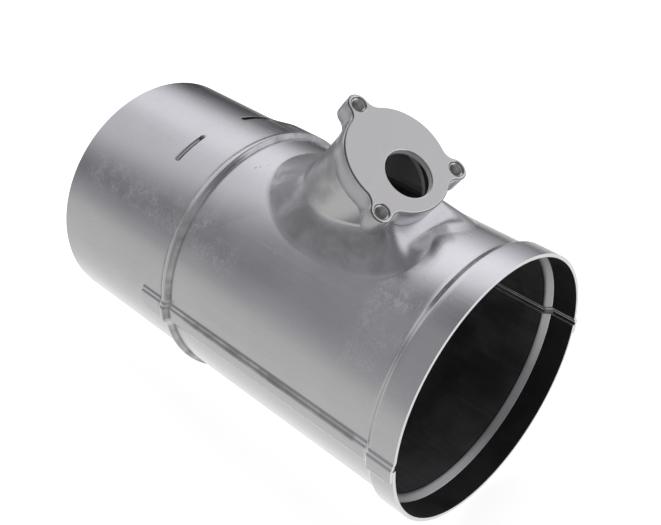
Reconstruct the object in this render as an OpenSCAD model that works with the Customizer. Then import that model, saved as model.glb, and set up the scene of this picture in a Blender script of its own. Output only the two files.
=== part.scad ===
// Exhaust decomposition tube: two stamped half shells lapped along both sides, an upper
// shell with a drawn, tilted injector neck, a machined three-ear injector flange, and a
// swirl mixer whose ring is held by tabs in slots near the outlet.
// The tube axis is X. The outlet end is at x = 0, the inlet collar at x = tube_len, and
// the injector neck points up, +Z, leaning towards the inlet.

/* [Tube] */
// Outside diameter of the tube and of its outlet end
tube_d = 152.4; // [140:0.2:165]
// Overall length, outlet end to inlet end
tube_len = 276; // [272:1:300]
// Thickness of the shells' sheet
sheet = 2; // [1.5:0.1:2.4]
// Rise of the wall from the sized outlet end to the foot of the bead
sizing_rise = 0.1; // [0.05:0.05:0.3]

/* [Inlet collar] */
// Inside diameter of the expanded collar that the inlet pipe slides into
collar_bore = 154.2; // [153.8:0.2:156]
// Length of the collar, from the end of its step to the inlet end
collar_len = 15; // [12:1:20]
// Length along the tube over which the wall steps out to the collar
step_len = 5; // [3:0.5:7]

/* [Stop bead] */
// Distance from the outlet end to the crest of the bead
bead_x = 101.5; // [98:0.5:106]
// Width of the bead along the tube
bead_w = 10.5; // [8:0.5:13]
// Height of the bead over the tube
bead_h = 2.7; // [1.5:0.1:3.5]

/* [Lap seams] */
// Distance from the outlet end to the start of the laps
lap_x = 79; // [76:1:88]
// Angle from the top at which the upper shell starts to step out
joggle_start = 86.6; // [85:0.2:87.5]
// Angle from the top at which the step out ends and the lip begins
joggle_end = 89.6; // [89:0.1:90]
// Angle from the top of the lower shell's edge under the lip
lower_edge = 90.8; // [90.4:0.1:91.5]
// Angle from the top at which the lip ends
lip_end = 95.5; // [94:0.5:98]
// Radial clearance between the lip and the lower shell
lap_gap = 0.1; // [0.05:0.05:0.3]
// Leg of the fillet weld along each lip
weld_leg = 1.8; // [1:0.1:2]

/* [Injector flange] */
// Distance from the outlet end to the middle of the flange's face
flange_x = 202.6; // [198:0.5:206]
// Height of the middle of the flange's face over the tube axis
flange_z = 109; // [108:0.5:114]
// Lean of the flange and its neck towards the inlet
lean = 35.75; // [30:0.25:38]
// Thickness of the flange
flange_t = 12.5; // [10:0.5:14]
// Outside diameter of the flange without its ears
flange_d = 61; // [60:0.5:66]
// Diameter of the injector hole
injector_bore = 26.8; // [22:0.2:28]
// Distance of the injector hole from the middle of the flange, towards the inlet
bore_offset = 9; // [6:0.5:10]
// Depth of the injector hole, down to the recess
lip_depth = 3.5; // [2.5:0.5:5]
// Diameter of the three screws' pitch circle
screw_pcd = 69; // [69:0.5:74]
// Angle between the two screws on the inlet side, narrower than the other two angles
screw_spread = 113.6; // [110:0.2:120]
// Tapping diameter of the screw holes
screw_hole = 6.8; // [5:0.1:7]
// Diameter of the countersink round each screw hole
screw_sink = 8.8; // [8:0.1:9.5]
// Depth of the countersinks
sink_depth = 0.4; // [0.2:0.05:0.45]
// Radius round each screw hole's ear
ear_r = 6.3; // [6:0.1:8]
// Radius of the hollow between an ear and the flange
ear_blend = 7; // [4:0.5:10]
// Length of the spigot that fits inside the neck
spigot_len = 7; // [4:0.5:8]

/* [Injector neck] */
// Outside diameter of the neck where it meets the flange
neck_d = 60.4; // [58:0.2:61]
// Distance from the outlet end to the middle of the fold where the flare meets the tube
fold_x = 181; // [178:0.5:184]
// Half the fold's length along the tube
fold_half_len = 57.5; // [52:0.5:60]
// Angle from the top to the fold's widest place
fold_half_angle = 36; // [33:0.5:40]
// Depth of the fold's dent on the inlet side
fold_dent = 6.5; // [0:0.5:8]
// Height of the neck's bend over the tube at the neck's sides
bend_rise = 9; // [7:0.5:11]
// Distance from the neck's axis to the straight edge of the ledge on the inlet side
ledge_reach = 37.2; // [35:0.2:38]
// Clearance between the spigot and the neck
spigot_gap = 0.15; // [0.1:0.05:0.4]

/* [Mixer] */
// Distance from the outlet end to the middle of the mixer ring and its slots
mixer_x = 67.5; // [62:0.5:69]
// Angle from the top, or from the bottom, to the middle of each slot
slot_angle = 20; // [16:1:28]
// Length of the slots round the tube
slot_len = 23.4; // [16:0.2:26]
// Width of the slots along the tube
slot_w = 3.2; // [2.6:0.1:4]
// Thickness of the mixer's sheet
mixer_sheet = 2; // [1.5:0.1:2.4]
// Radial width of the mixer ring
ring_w = 8; // [6:0.5:12]
// Number of swirl vanes
vane_count = 12; // [8:2:12]
// Turn of the vanes away from the tube axis
vane_pitch = 40; // [30:1:50]
// Length of a vane from edge to edge
vane_chord = 28; // [20:1:32]
// Thickness of a vane
vane_t = 1.5; // [1:0.1:2]
// Outside diameter of the mixer hub
hub_d = 24; // [22:1:30]
// Length of the mixer hub
hub_len = 26; // [20:1:32]

/* [Hidden] */
$fn = 96;
over = 1;
cross_by = 0.02;

tube_r = tube_d / 2;
collar_r = collar_bore / 2 + sheet;
step_x = tube_len - collar_len - step_len;
sized_x = lap_x - over;
lip_lift = sheet + lap_gap;
curve_steps = 6;

flange_r = flange_d / 2;
neck_r = neck_d / 2;
neck_top = -flange_t;
spigot_r = neck_r - sheet - spigot_gap;
spigot_wall = 3;
recess_r = spigot_r - spigot_wall;

flare_sides = 60;
flare_steps = 5;
inlet_power = 3.5;
dent_angle = 8;
ledge_start = 24;
ledge_end = 56;
fold_bite = 0.35;

fit_gap = 0.15;
ring_r = tube_r - sheet - 0.2;
ring_in = ring_r - ring_w;
notch_r = ring_in + ring_w / 2;
tab_len = 0.8 * slot_len;
tab_sink = 0.2;
mixer_turn = (slot_len - tab_len) / 2 / tube_r * 180 / PI - 0.3;
hub_r = hub_d / 2;
hub_wall = 2;
vane_root = hub_r + 1;
vane_tip = ring_r - 0.3;
root_tab = 9;

// Eases from 0 to 1 as t goes from 0 to 1, flat at both ends.
function ease(t) = (1 - cos(180 * t)) / 2;
function reverse(list) = [for (i = [len(list) - 1 : -1 : 0]) list[i]];

// Outline of the tube's outside, from x0 to x1, as [radius, x] points: it is sized for
// the mating pipe up to sized_x, stands out at the bead and steps up to the collar.
function bead_line(lift) = [for (i = [0 : 2 * curve_steps])
    [tube_r + lift + sizing_rise * max(0, 1 - i / curve_steps)
     + bead_h * ease(1 - abs(i / curve_steps - 1)),
     bead_x - bead_w / 2 + bead_w * i / (2 * curve_steps)]];
function step_line(lift) = [for (i = [0 : curve_steps])
    [tube_r + lift + (collar_r - tube_r) * ease(i / curve_steps),
     step_x + step_len * i / curve_steps]];
function wall_line(x0, x1, lift) = concat(
    x0 < sized_x ? [[tube_r + lift, x0]] : [],
    x0 < lap_x ? [[tube_r + lift, sized_x]] : [],
    x0 < bead_x ? [[tube_r + lift + sizing_rise / 2, lap_x]] : [],
    x0 < bead_x && x1 > bead_x ? bead_line(lift) : [],
    x1 > step_x ? step_line(lift) : [],
    [[(x1 > step_x ? collar_r : tube_r) + lift, x1]]);

// Wall of the tube from x0 to x1 and from angle a0 to a1, both from the top towards +Y.
// inner and outer lift its two faces away from the plain wall's.
module wall(x0, x1, a0, a1, inner = 0, outer = 0) {
    bends = ceil((a1 - a0) / 60);
    intersection() {
        rotate([0, 90, 0]) rotate_extrude()
            polygon(concat(wall_line(x0, x1, outer), reverse(wall_line(x0, x1, inner - sheet))));
        translate([x0 - over, 0, 0]) rotate([90, 0, 90]) linear_extrude(x1 - x0 + 2 * over)
            polygon(concat([[0, 0]], [for (i = [0 : bends])
                let (a = a0 + (a1 - a0) * i / bends) 2 * tube_r * [sin(a), cos(a)]]));
    }
}

// Both of a pair of things that mirror each other across the tube's upright plane.
module both_sides() {
    children();
    mirror([0, 1, 0]) children();
}

// Slots for the mixer's tabs, either side of the top.
module tab_slots() {
    both_sides() rotate([-slot_angle, 0, 0]) translate([mixer_x, 0, tube_r - 2 * sheet])
        linear_extrude(4 * sheet) {
            square([slot_w, slot_len - slot_w], center = true);
            both_sides() translate([0, (slot_len - slot_w) / 2]) circle(d = slot_w);
        }
}

// Places things in the flange's own frame: x towards the inlet, z out of its face.
module at_flange() {
    translate([flange_x, 0, flange_z]) rotate([0, lean, 0]) children();
}

// A place given in the flange's frame, in the tube's frame.
function from_flange(p) = [flange_x + p[0] * cos(lean) + p[2] * sin(lean), p[1],
                           flange_z - p[0] * sin(lean) + p[2] * cos(lean)];

// Height, in the flange's frame, at which a line of the neck with radius r and turn a
// meets a tube of radius tube.
function line_foot(r, a, tube) =
    -(flange_z - r * cos(a) * sin(lean) - sqrt(pow(tube, 2) - pow(r * sin(a), 2))) / cos(lean);

// The fold, as a rounded outline wrapped round a tube of radius tube: an ellipse towards
// the outlet and a fuller, slightly dented curve towards the inlet.
function fold_power(a) = 2 / (cos(a) > 0 ? inlet_power : 2);
function fold_across(a) = sign(sin(a)) * pow(abs(sin(a)), fold_power(a));
function fold_along(a) = sign(cos(a)) * pow(abs(cos(a)), fold_power(a));
function fold_point(a, inset, tube) =
    let (turn = (fold_half_angle - inset / tube_r * 180 / PI) * fold_across(a),
         dent = cos(a) > 0 ? fold_dent * exp(-pow(turn / dent_angle, 2)) : 0)
    [fold_x + (fold_half_len - inset) * fold_along(a) - dent, tube * sin(turn), tube * cos(turn)];

// How far the neck is drawn out into the ledge at turn a: fully under the inlet side of
// the flange, and not at all on the other sides.
function ledge(a) =
    ease(max(0, min(1, (ledge_end - acos(cos(a))) / (ledge_end - ledge_start))));

// One line of the neck's wall at turn a, down the neck, along the ledge, round the bend
// and straight down the flare to the fold. The line lies depth under the outer face.
function along(p, q, reach) = p + (q - p) * min(0.9, reach / norm(q - p));
function curve_at(p, q, r, t) = pow(1 - t, 2) * p + 2 * t * (1 - t) * q + pow(t, 2) * r;
function on_line(a, r, h) = from_flange([r * cos(a), r * sin(a), h]);
function neck_line(a, depth, inset, tube) =
    let (flat = ledge(a),
         r = neck_r - depth,
         out = min(ledge_reach / max(0.5, cos(a)), 1.09 * ledge_reach) - neck_r,
         rise = bend_rise + 3 * max(0, -cos(a)),
         low = flat * (neck_top - 0.5) + (1 - flat) * (line_foot(neck_r, a, tube_r) + rise),
         high = min(neck_top - 0.2, low + 4 * (1 - flat)) - depth * flat,
         corner = on_line(a, r + flat * (out + 0.4 * depth), low - depth * (0.4 + 0.6 * flat)),
         shoulder = on_line(a, r, high),
         end = fold_point(a, inset, tube),
         reach = 3.6 - 1.6 * flat,
         start = along(corner, shoulder, reach),
         stop = along(corner, end, reach))
    concat([on_line(a, r, neck_top), shoulder],
           [for (i = [0 : flare_steps]) curve_at(start, corner, stop, i / flare_steps)],
           [end]);

// The drawn neck and its flare down to the fold, as one closed sheet.
module neck() {
    turns = [for (i = [0 : flare_sides - 1]) 360 * i / flare_sides];
    outside = [for (a = turns) neck_line(a, 0, 0, tube_r - fold_bite)];
    inside = [for (a = turns) reverse(neck_line(a, sheet, 1.5, tube_r - sheet + fold_bite))];
    lines = [for (i = [0 : flare_sides - 1]) concat(outside[i], inside[i])];
    count = len(lines[0]);
    polyhedron(
        points = [for (line = lines) for (p = line) p],
        faces = [for (i = [0 : flare_sides - 1]) for (j = [0 : count - 1])
            let (k = (i + 1) % flare_sides, l = (j + 1) % count)
            for (face = [[i * count + j, k * count + j, k * count + l],
                         [i * count + j, k * count + l, i * count + l]]) face]);
}

// The opening in the upper shell that the flare fills.
module neck_opening() {
    translate([0, 0, tube_r / 2]) linear_extrude(tube_r)
        polygon([for (i = [0 : flare_sides - 1])
            let (p = fold_point(360 * i / flare_sides, 3, tube_r)) [p[0], p[1]]]);
}

// Takes a side strip off a half shell along its laps, from angle a0 to angle a1.
module lap_cut(a0, a1) {
    wall(lap_x, tube_len + over, a0, a1, -over, over);
}

// The joggle of one side of the upper shell, with the lip that it carries.
module joggle_and_lip() {
    difference() {
        wall(lap_x, tube_len, joggle_start, lip_end, 0, lip_lift);
        wall(lap_x - over, tube_len + over, joggle_end, lip_end + over, -over, lap_gap);
    }
}

module upper_shell() {
    color("silver") {
        difference() {
            wall(0, tube_len, -90, 90);
            both_sides() lap_cut(joggle_start, 90 + over);
            tab_slots();
            neck_opening();
        }
        both_sides() joggle_and_lip();
        neck();
    }
}

module lower_shell() {
    color("darkgray") difference() {
        wall(0, tube_len, 90, 270);
        both_sides() lap_cut(90 - over, lower_edge);
        mirror([0, 0, 1]) tab_slots();
    }
}

// Fillet weld under a lip, between the bead and the step to the collar.
module seam_weld() {
    x0 = bead_x + bead_w / 2 + 2;
    x1 = step_x - 2;
    foot_r = tube_r + 0.02;
    color("gray") rotate([-lip_end, 0, 0]) translate([x0, 0, 0]) rotate([90, 0, 90])
        linear_extrude(x1 - x0)
            polygon([[0.02, foot_r], [weld_leg, foot_r - weld_leg * weld_leg / 2 / tube_r],
                     [0.02, foot_r + lap_gap + 0.9 * sheet]]);
}
module seam_weld_front() {
    mirror([0, 1, 0]) seam_weld();
}
module seam_weld_rear() {
    seam_weld();
}

// One ear with the two hollows that blend it into the round of the flange. The ear's
// centre lies reach from the flange's centre along x.
module ear(reach) {
    long_side = flange_r + ear_blend;
    short_side = ear_r + ear_blend;
    swing = acos((pow(long_side, 2) + pow(reach, 2) - pow(short_side, 2)) / (2 * long_side * reach));
    hollow = long_side * [cos(swing), sin(swing)];
    translate([reach, 0]) circle(r = ear_r);
    both_sides() difference() {
        polygon([[0, 0], [reach, 0], hollow]);
        translate(hollow) circle(r = ear_blend + cross_by);
    }
}

// Centres of the screw holes in the flange's plane: one towards the outlet and two
// towards the inlet.
screw_turns = [180, -screw_spread / 2, screw_spread / 2];
function screw_place(i) = screw_pcd / 2 * [cos(screw_turns[i]), sin(screw_turns[i])];

module injector_flange() {
    color("lightgray") at_flange() difference() {
        union() {
            translate([0, 0, -flange_t]) linear_extrude(flange_t) {
                circle(r = flange_r);
                for (turn = screw_turns) rotate(turn) ear(screw_pcd / 2);
            }
            translate([0, 0, -flange_t - spigot_len]) cylinder(h = spigot_len + over, r = spigot_r);
        }
        translate([bore_offset, 0, -lip_depth - over])
            cylinder(h = lip_depth + 2 * over, d = injector_bore);
        translate([0, 0, -flange_t - spigot_len - over])
            cylinder(h = flange_t + spigot_len + over - lip_depth, r = recess_r);
        for (i = [0 : 2]) translate(screw_place(i)) {
            translate([0, 0, -flange_t - over]) cylinder(h = flange_t + 2 * over, d = screw_hole);
            translate([0, 0, -sink_depth])
                cylinder(h = sink_depth, d1 = screw_hole, d2 = screw_sink);
        }
    }
}

// Places vane number i of the mixer, with its root on the tube axis and its span up z.
module at_vane(i) {
    translate([mixer_x, 0, 0]) rotate([360 * i / vane_count + mixer_turn, 0, 0])
        rotate([0, 0, vane_pitch]) children();
}

// A flat vane blank from radius r0 to r1, with its chord and thickness.
module vane_blank(r0, r1, chord, thick) {
    translate([-chord / 2, -thick / 2, r0]) cube([chord, thick, r1 - r0]);
}

// Ring of the mixer from radius r0 outwards, thick along the tube.
module ring_plate(r0, r1, thick) {
    translate([mixer_x - thick / 2, 0, 0]) rotate([0, 90, 0]) difference() {
        cylinder(h = thick, r = r1);
        translate([0, 0, -over]) cylinder(h = thick + 2 * over, r = r0);
    }
}

module mixer_ring() {
    color("dimgray") difference() {
        union() {
            ring_plate(ring_in, ring_r, mixer_sheet);
            intersection() {
                for (side = [0, 180]) rotate([side, 0, 0]) for (angle = [-slot_angle, slot_angle])
                    rotate([mixer_turn - angle, 0, 0])
                        translate([mixer_x - mixer_sheet / 2, -tab_len / 2, ring_r - ring_w / 2])
                            cube([mixer_sheet, tab_len, ring_w]);
                ring_plate(ring_in + over, tube_r - tab_sink, 2 * mixer_sheet);
            }
        }
        for (i = [0 : vane_count - 1])
            at_vane(i) vane_blank(ring_in - over, notch_r + fit_gap, vane_chord, vane_t + 2 * fit_gap);
    }
}

module mixer_hub() {
    color("dimgray") difference() {
        translate([mixer_x - hub_len / 2, 0, 0]) rotate([0, 90, 0]) difference() {
            cylinder(h = hub_len, r = hub_r);
            translate([0, 0, -over]) cylinder(h = hub_len + 2 * over, r = hub_r - hub_wall);
        }
        for (i = [0 : vane_count - 1])
            at_vane(i) vane_blank(hub_r - 2 * hub_wall, hub_r + over, root_tab + 2 * fit_gap,
                                  vane_t + 2 * fit_gap);
    }
}

// One swirl vane: a tab through the hub, a flat blade, and a notch that straddles the ring.
module vane(i) {
    color("gray") intersection() {
        difference() {
            at_vane(i) {
                vane_blank(vane_root, ring_r, vane_chord, vane_t);
                vane_blank(hub_r - hub_wall, vane_root + over, root_tab, vane_t);
            }
            ring_plate(notch_r - fit_gap, ring_r + over, mixer_sheet + 2 * fit_gap);
        }
        translate([mixer_x - vane_chord, 0, 0]) rotate([0, 90, 0])
            cylinder(h = 2 * vane_chord, r = vane_tip);
    }
}

upper_shell();
lower_shell();
injector_flange();
seam_weld_front();
seam_weld_rear();
mixer_ring();
mixer_hub();
vane(0);  // vane_1
vane(1);  // vane_2
vane(2);  // vane_3
vane(3);  // vane_4
vane(4);  // vane_5
vane(5);  // vane_6
vane(6);  // vane_7
vane(7);  // vane_8
vane(8);  // vane_9
vane(9);  // vane_10
vane(10);  // vane_11
vane(11);  // vane_12
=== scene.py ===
import math

import bmesh
import bpy
import numpy as np
from mathutils import Matrix, Vector
from mathutils.geometry import tessellate_polygon


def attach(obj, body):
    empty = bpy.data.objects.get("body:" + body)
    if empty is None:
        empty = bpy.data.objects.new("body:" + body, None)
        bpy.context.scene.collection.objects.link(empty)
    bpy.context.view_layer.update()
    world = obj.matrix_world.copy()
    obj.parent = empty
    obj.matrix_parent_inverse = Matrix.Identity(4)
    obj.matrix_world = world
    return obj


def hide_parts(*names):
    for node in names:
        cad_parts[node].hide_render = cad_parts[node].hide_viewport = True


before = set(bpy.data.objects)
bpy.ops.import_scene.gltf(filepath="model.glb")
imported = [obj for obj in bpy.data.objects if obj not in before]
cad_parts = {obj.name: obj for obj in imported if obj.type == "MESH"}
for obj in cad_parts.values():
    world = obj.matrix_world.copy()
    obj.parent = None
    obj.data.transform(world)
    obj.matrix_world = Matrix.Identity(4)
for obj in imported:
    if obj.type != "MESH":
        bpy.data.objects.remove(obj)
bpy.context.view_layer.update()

# Sizes in metres and angles in degrees. They are those of part.scad, but for the bead's section,
# the swelling before it, the joggle's angles, the start of the laps, the fold's power and dent
# angle and the softened limit of the ledge, which were set by how light falls there in the photo.
MM = 0.001
TUBE_R = 76.2 * MM
TUBE_LEN = 276 * MM
SHEET = 2 * MM
COLLAR_R = 79.1 * MM
STEP_X, STEP_LEN = 256 * MM, 5 * MM
BEAD_X, BEAD_BEFORE, BEAD_AFTER, BEAD_H = 101.6 * MM, 6.2 * MM, 2.5 * MM, 2.7 * MM
SWELL_X, SWELL_LEN, SWELL_H = 60 * MM, 21 * MM, 2.75 * MM
SWELL_START, SWELL_END = (28, 38), (60, 82)
LAP_X, LAP_RAMP = 79 * MM, 0.8 * MM
JOGGLE_0, JOGGLE_1 = 86.4, 89.7
LIP_END, LIP_LONGER = 95.5, 2.4
LIP_LIFT, LIP_CORNER = 2.1 * MM, 6 * MM
LOWER_SHORT = 0.8
LEAN = math.radians(35.75)
SIN, COS = math.sin(LEAN), math.cos(LEAN)
FLANGE_X, FLANGE_Z = 202.6 * MM, 109 * MM
FLANGE_T = 12.5 * MM
FLANGE_R = 30.5 * MM
NECK_R = 30.2 * MM
SLOT_X, SLOT_ANGLE, SLOT_LEN, SLOT_W = 67.5 * MM, 20, 23.4 * MM, 3.2 * MM
FOLD_X, FOLD_HALF_LEN, FOLD_HALF_ANGLE, FOLD_POWER = 181 * MM, 57.5 * MM, 36, 3.2
FOLD_DENT, DENT_ANGLE = 6.5 * MM, 9
BEND_RISE, BEND_RISE_BACK = 9 * MM, 3 * MM
LEDGE_REACH, LEDGE_BLEND = 37.2 * MM, 0.9 * MM
LEDGE_LIMIT = 1.09 * LEDGE_REACH
LEDGE_START, LEDGE_END = 24, 56


def smooth(t):
    t = np.clip(t, 0, 1)
    return t * t * (3 - 2 * t)


def ramp(v, start, end):
    return smooth((v - start) / (end - start))


def soft_min(a, b, width):
    return -width * math.log(math.exp(-a / width) + math.exp(-b / width))


# The shells' surfaces

def bead(x):
    """Height of the stop bead: a broad crest, steeper towards the inlet."""
    half = np.where(x < BEAD_X, BEAD_BEFORE, BEAD_AFTER)
    t = np.clip(1 - np.abs((x - BEAD_X) / half), 0, 1)
    wave = (1 - np.cos(np.pi * t)) / 2
    crest = np.sin(np.pi / 2 * smooth(t * 1.25))
    return BEAD_H * (0.35 * wave + 0.65 * crest)


def step(x):
    return (COLLAR_R - TUBE_R) * smooth((x - STEP_X) / STEP_LEN)


def lapped(x):
    """0 before the laps, 1 along them."""
    return smooth((x - LAP_X + LAP_RAMP / 2) / LAP_RAMP)


def joggle(x, rel):
    """How far the upper shell stands out towards its lips at this angle from the top."""
    t = (np.abs(rel) - JOGGLE_0) / (JOGGLE_1 - JOGGLE_0)
    side = 0.5 * smooth(t * 2.3) + 0.5 * smooth(t * 2.3 - 1.3)
    return LIP_LIFT * side * lapped(x)


def swelling(x, rel):
    """The low swelling before the bead on the far side; it runs into the bead's crest."""
    along = smooth((x - SWELL_X) / SWELL_LEN) * (x < BEAD_X)
    return SWELL_H * along * ramp(rel, *SWELL_START) * (1 - ramp(rel, *SWELL_END))


def upper_r(x, rel):
    return TUBE_R + np.maximum(bead(x), swelling(x, rel)) + step(x) + joggle(x, rel)


def lower_r(x):
    return TUBE_R + bead(x) + step(x)


def on_tube(x, rel, r):
    a = np.radians(rel)
    return np.stack([x, r * np.sin(a), r * np.cos(a)], -1)


def spread(stops, gap):
    """Values that pass through every stop, evenly spaced by at most its gap between two stops."""
    out = [stops[0]]
    for a, b, g in zip(stops[:-1], stops[1:], gap):
        n = max(1, int(math.ceil(abs(b - a) / g - 1e-9)))
        out += [a + (b - a) * k / n for k in range(1, n + 1)]
    return np.array(out)


class Sheet:
    """One face of a sheet, gathered as points and quads, then given its other face and its edges."""

    def __init__(self):
        self.points, self.faces, self.at = [], [], {}

    def add(self, p):
        key = tuple(int(round(v * 1e7)) for v in p)
        if key not in self.at:
            self.at[key] = len(self.points)
            self.points.append(tuple(float(v) for v in p))
        return self.at[key]

    def quad(self, *ids):
        ids = [v for k, v in enumerate(ids) if v != ids[k - 1]]
        if len(ids) > 2:
            self.faces.append(ids)

    def grid(self, points, skip=None):
        n, m = points.shape[:2]
        ids = np.empty((n, m), int)
        for i in range(n):
            for j in range(m):
                ids[i, j] = self.add(points[i, j])
        for i in range(n - 1):
            for j in range(m - 1):
                if skip is None or not skip[i, j]:
                    self.quad(ids[i, j], ids[i + 1, j], ids[i + 1, j + 1], ids[i, j + 1])

    def solid(self, name, thick):
        """Offsets the face inward along its own normals and closes all its free edges."""
        pts = np.array(self.points)
        normals = np.zeros_like(pts)
        for f in self.faces:
            n = np.zeros(3)
            for k in range(1, len(f) - 1):
                n += np.cross(pts[f[k]] - pts[f[0]], pts[f[k + 1]] - pts[f[0]])
            for v in f:
                normals[v] += n
        normals /= np.linalg.norm(normals, axis=1)[:, None]
        count = len(pts)
        both = np.vstack([pts, pts - normals * thick])
        faces = [list(f) for f in self.faces]
        faces += [[v + count for v in reversed(f)] for f in self.faces]
        edges = {}
        for f in self.faces:
            for a, b in zip(f, f[1:] + f[:1]):
                if (b, a) in edges:
                    del edges[(b, a)]
                else:
                    edges[(a, b)] = True
        faces += [[b, a, a + count, b + count] for a, b in edges]
        mesh = bpy.data.meshes.new(name)
        mesh.from_pydata([tuple(p) for p in both], [], faces)
        mesh.validate()
        return mesh


def rect_loop(i0, i1, j0, j1):
    """Grid indices round the rectangle's border, starting at the +x end of the middle row."""
    jm = (j0 + j1) // 2
    loop = [(i1, j) for j in range(jm, j1)] + [(i, j1) for i in range(i1, i0, -1)]
    loop += [(i0, j) for j in range(j1, j0, -1)] + [(i, j0) for i in range(i0, i1)]
    return loop + [(i1, j) for j in range(j0, jm)]


def ring_patch(sheet, rings):
    """Joins closed rings of the same count, outermost first."""
    ids = [[sheet.add(p) for p in ring] for ring in rings]
    n = len(ids[0])
    for a, b in zip(ids[:-1], ids[1:]):
        for k in range(n):
            m = (k + 1) % n
            sheet.quad(a[k], a[m], b[m], b[k])


# The neck's flare

def from_flange(u, v, h):
    return np.array([FLANGE_X + u * COS + h * SIN, v, FLANGE_Z - u * SIN + h * COS])


def line_foot(r, a):
    """Height over the flange's face at which a line down the neck meets the tube."""
    return -(FLANGE_Z - r * math.cos(a) * SIN
             - math.sqrt(TUBE_R ** 2 - (r * math.sin(a)) ** 2)) / COS


def fold_at(a):
    """Place of the fold as (x, angle from the top) at turn a; dented in the middle towards the inlet."""
    c, s = math.cos(a), math.sin(a)
    power = 2 / FOLD_POWER if c > 0 else 1
    rel = FOLD_HALF_ANGLE * math.copysign(abs(s) ** power, s)
    x = FOLD_X + FOLD_HALF_LEN * math.copysign(abs(c) ** power, c)
    if c > 0:
        x -= FOLD_DENT * math.exp(-(rel / DENT_ANGLE) ** 2) * min(1, c * 3)
    return x, rel


def turns_at(x, rel):
    """A place's own turn round the fold's middle, and the turn at which fold_at lies in line with it."""
    own = math.atan2(rel / FOLD_HALF_ANGLE, (x - FOLD_X) / FOLD_HALF_LEN)
    if math.cos(own) <= 1e-9:
        return own, own
    slope = math.tan(own)
    return own, math.atan(math.copysign(abs(slope) ** (FOLD_POWER / 2), slope))


def curve(a, corner, b, count):
    """Points from a to b that bend round the corner."""
    return [(1 - t) ** 2 * a + 2 * t * (1 - t) * corner + t * t * b for t in np.linspace(0, 1, count)]


def rounded(points, k, reach):
    """The polyline with its corner at index k replaced by a curve that starts and ends reach away."""
    p = points[k]
    a, b = points[k - 1] - p, points[k + 1] - p
    a = p + a / np.linalg.norm(a) * min(reach, 0.45 * np.linalg.norm(a))
    b = p + b / np.linalg.norm(b) * min(reach, 0.45 * np.linalg.norm(b))
    return points[:k] + curve(a, p, b, 5) + points[k + 1:]


def on_outside(x, rel):
    return on_tube(np.array(x), np.array(rel), np.array(TUBE_R))


def ledge(turn):
    """How far the neck is drawn out into the flat ledge under the flange's inlet side."""
    return float(smooth((LEDGE_END - abs(math.degrees(turn))) / (LEDGE_END - LEDGE_START)))


def on_line(turn, r, h):
    return from_flange(r * math.cos(turn), r * math.sin(turn), h)


# Where a line's points lie on the flare's slope and up the neck, as shares of its length
ON_SLOPE = (0, 0.06, 0.14, 0.23, 0.33, 0.43, 0.53, 0.63, 0.73, 0.82, 0.91)
ON_NECK = (0.3, 0.65, 1)


def neck_line(turn, end):
    """Points from the fold up the flare, round the bend and up the neck to its top."""
    flat, top = ledge(turn), -FLANGE_T
    straight = LEDGE_REACH / max(0.4, math.cos(turn))
    out = soft_min(straight, LEDGE_LIMIT, LEDGE_BLEND) - NECK_R
    rise = BEND_RISE + BEND_RISE_BACK * max(0, -math.cos(turn))
    low = flat * (top - 0.5 * MM) + (1 - flat) * (line_foot(NECK_R, turn) + rise)
    high = min(top - 0.2 * MM, low + 4 * MM * (1 - flat))
    corner = on_line(turn, NECK_R + flat * out, low)
    shoulder = on_line(turn, NECK_R, high)
    reach = (5.2 - 3.2 * flat) * MM

    def away(p):
        return corner + (p - corner) * min(0.9, reach / np.linalg.norm(p - corner))
    start, stop = away(end), away(shoulder)
    points = [end + (start - end) * t for t in ON_SLOPE] + curve(start, corner, stop, 9)
    points += [stop + (shoulder - stop) * t for t in ON_NECK]
    neck_top = on_line(turn, NECK_R, top)
    return points + [shoulder + (neck_top - shoulder) * t for t in ON_NECK]


def neck_lines(border):
    """One polyline per border point (x, angle from the top), from the border up to the neck's top."""
    lines = []
    for x, rel in border:
        own, a = turns_at(x, rel)
        fx, frel = fold_at(a)
        length = max(2 * MM, math.hypot(x - fx, math.radians(rel - frel) * TUBE_R))
        last = 1 - min(0.25, 1.6 * MM / length)
        line = [on_outside(x + (fx - x) * t, rel + (frel - rel) * t) for t in (0, 0.3, 0.6, 0.85, last)]
        fold = len(line)
        # the neck's own turn follows the border's a little, so that its lines stay evenly spread
        line += neck_line(a + 0.35 * (own - a), on_outside(fx, frel))
        lines.append(rounded(line, fold, 1.1 * MM))
    return lines


# A slot's rim: share of the way from the border to the slot, gap outside its edge, depth of the roll
SLOT_RIM = ((0, 0, 0), (0.45, 1.0 * MM, 0), (1, 1.2 * MM, 0), (1, 0.4 * MM, 0.03 * MM), (1, 0, 0.12 * MM))


def slot_rings(border, x0, rel0):
    """Rings from a rectangle's border to the round-ended slot inside it."""
    rings = [[] for _ in SLOT_RIM]
    for x, rel in border:
        s = math.radians(rel - rel0) * TUBE_R
        half = (SLOT_LEN - SLOT_W) / 2
        c = max(-half, min(half, s))
        d = np.array([x - x0, s - c])
        d /= np.linalg.norm(d)
        for k, (t, off, deep) in enumerate(SLOT_RIM):
            px = x0 + (SLOT_W / 2 + off) * d[0]
            ps = c + (SLOT_W / 2 + off) * d[1]
            px, ps = x + (px - x) * t, s + (ps - s) * t
            rel_here = rel0 + math.degrees(ps / TUBE_R)
            rings[k].append(on_tube(np.array(px), np.array(rel_here), np.array(TUBE_R - deep)))
    return rings


# The mesh's lines along the tube, through the slots' and the neck's rectangles, the laps' start,
# the bead and the collar's step
XS = spread([0, 62, 73, (LAP_X - LAP_RAMP / 2) / MM, (LAP_X + LAP_RAMP / 2) / MM, 83, 95, 104, 114,
             214, 248, 256, 261, 276],
            [3.5, 1.0, 1.6, 0.2, 0.6, 2.0, 0.3, 1.9, 2.3, 1.0, 2, 0.33, 2.5]) * MM
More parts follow.
